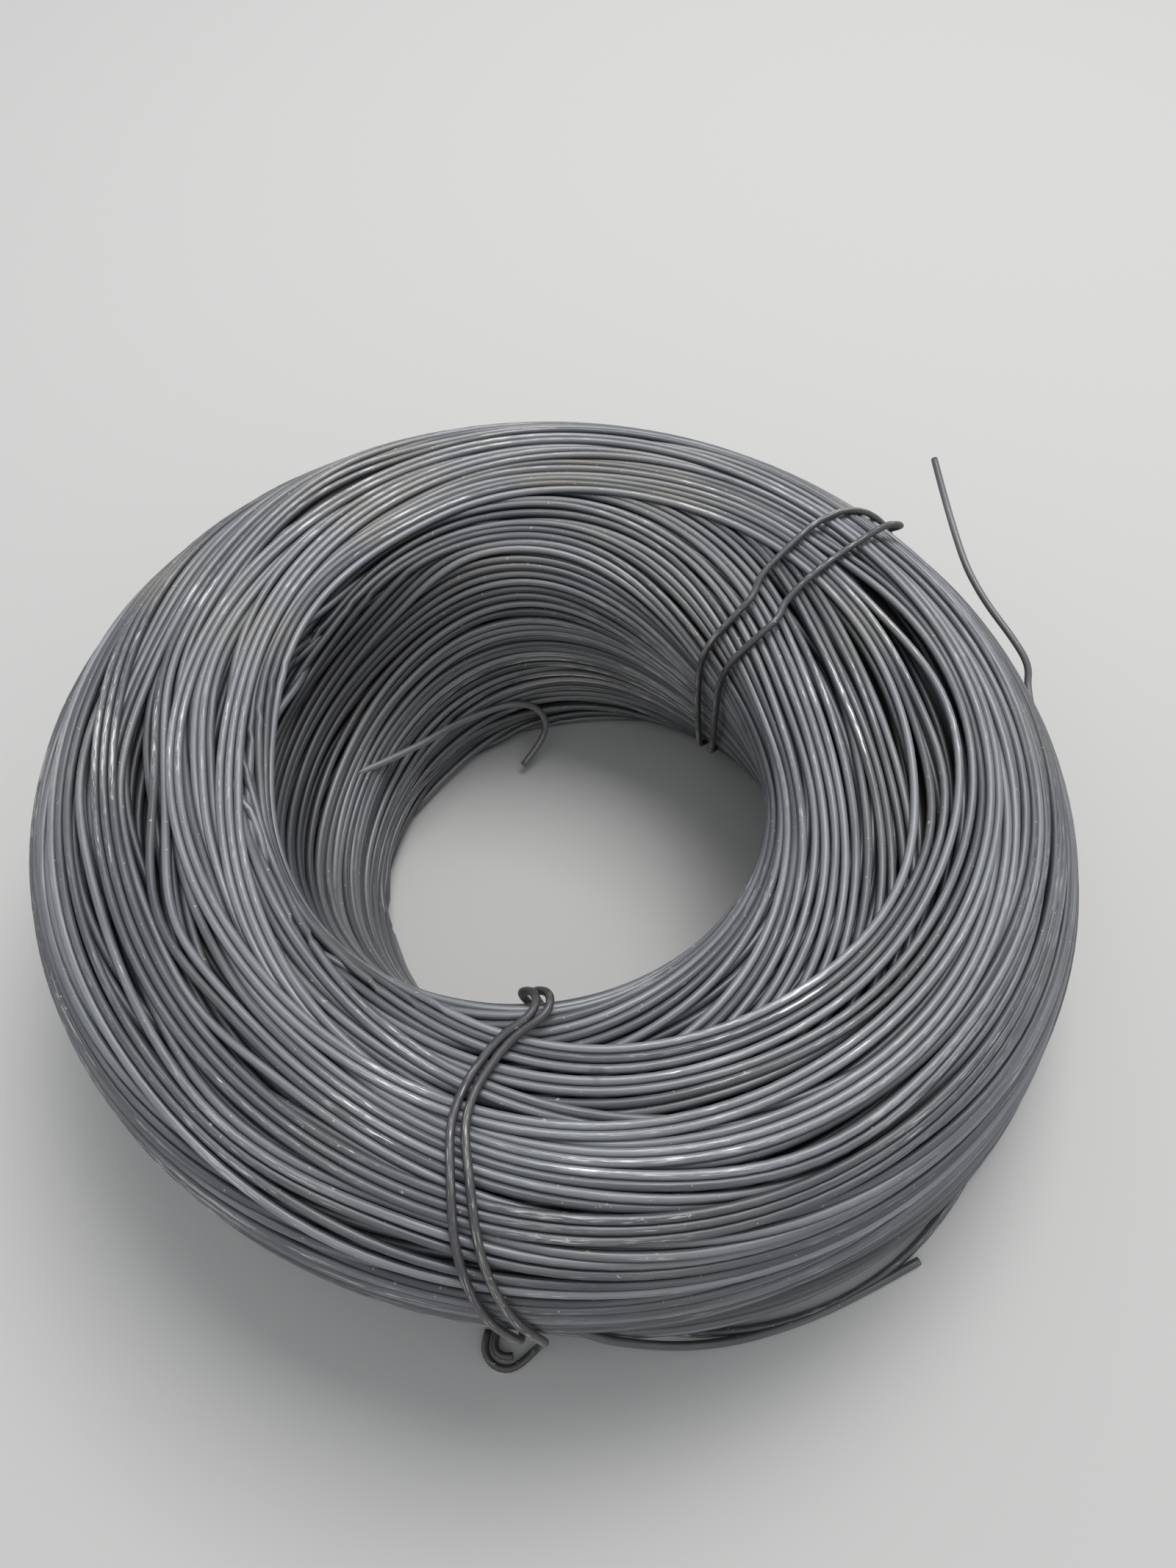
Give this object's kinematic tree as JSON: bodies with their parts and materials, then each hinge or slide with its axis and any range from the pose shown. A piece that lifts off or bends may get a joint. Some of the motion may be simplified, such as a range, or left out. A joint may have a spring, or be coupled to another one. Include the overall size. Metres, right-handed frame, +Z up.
{
  "type": "coil of binding wire",
  "caption": "Thick ring of wound black annealed binding wire with an open eye, lying flat and slumped a little to one side, held by doubled wire ties.",
  "frame": {"origin": "centre of the coil's base, on the ground", "axes": "+Z up through the eye, -Y towards the front tie, +X to the right seen from the front"},
  "size_m": [0.3083, 0.3046, 0.0944],
  "materials": {
    "annealed_wire": "dark blue-grey annealing scale with bright worn streaks",
    "tie_wire": "dark annealed wire with a little rust at its ends"
  },
  "bodies": {
    "root": {"wire_coil": "annealed_wire", "front_tie": "tie_wire", "back_tie": "tie_wire"}
  },
  "joints": []
}
